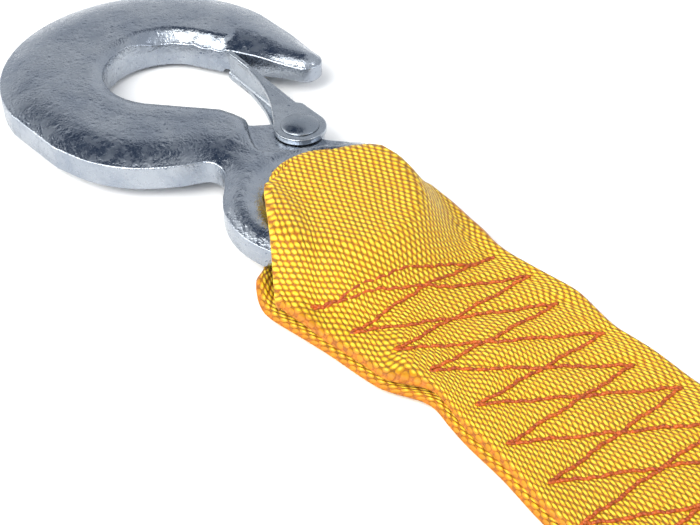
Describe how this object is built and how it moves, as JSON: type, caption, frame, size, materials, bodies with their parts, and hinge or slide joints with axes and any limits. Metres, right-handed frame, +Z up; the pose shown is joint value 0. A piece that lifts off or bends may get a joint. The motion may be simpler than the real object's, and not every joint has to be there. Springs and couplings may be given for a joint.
{
  "type": "tow strap",
  "caption": "Tow strap of woven webbing with a sewn loop, a forged slip hook and a spring latch at each end, its spare length wound in a roll.",
  "frame": {"origin": "on the floor, below the centre of the roll", "axes": "+X along the strap from hook a to hook b, +Y across the strap, +Z up"},
  "size_m": [0.725, 0.0796, 0.1132],
  "materials": {
    "webbing": "coarse woven polyester",
    "thread": "thick twisted sewing thread",
    "zinc_forging": "zinc plated over a blasted forging",
    "zinc_sheet": "smooth zinc plate",
    "zinc_rivet": "smooth zinc plate"
  },
  "bodies": {
    "strap": {"webbing_strap": "webbing", "stitching_a": "thread", "stitching_b": "thread"},
    "hook_a": {"hook_a": "zinc_forging", "latch_rivet_a": "zinc_rivet"},
    "latch_a": {"latch_a": "zinc_sheet"},
    "hook_b": {"hook_b": "zinc_forging", "latch_rivet_b": "zinc_rivet"},
    "latch_b": {"latch_b": "zinc_sheet"}
  },
  "joints": [
    {"name": "hook_a_swing", "type": "hinge", "parent": "strap", "child": "hook_a", "pos_m": [-0.25, 0, 0.0073], "axis": [0, 0, 1], "range_deg": [-20, 30]},
    {"name": "hook_b_swing", "type": "hinge", "parent": "strap", "child": "hook_b", "pos_m": [0.25, 0, 0.0073], "axis": [0, 0, 1], "range_deg": [-20, 30]},
    {"name": "latch_a_open", "type": "hinge", "parent": "hook_a", "child": "latch_a", "pos_m": [-0.2748, 0.0127, 0.00678], "axis": [-0.0209, 0, 0.9998], "range_deg": [0, 38], "stiffness_Nm_per_rad": 0.02, "springref_deg": -28.65},
    {"name": "latch_b_open", "type": "hinge", "parent": "hook_b", "child": "latch_b", "pos_m": [0.2748, -0.0127, 0.00678], "axis": [0.0209, 0, 0.9998], "range_deg": [0, 38], "stiffness_Nm_per_rad": 0.02, "springref_deg": -28.65}
  ]
}
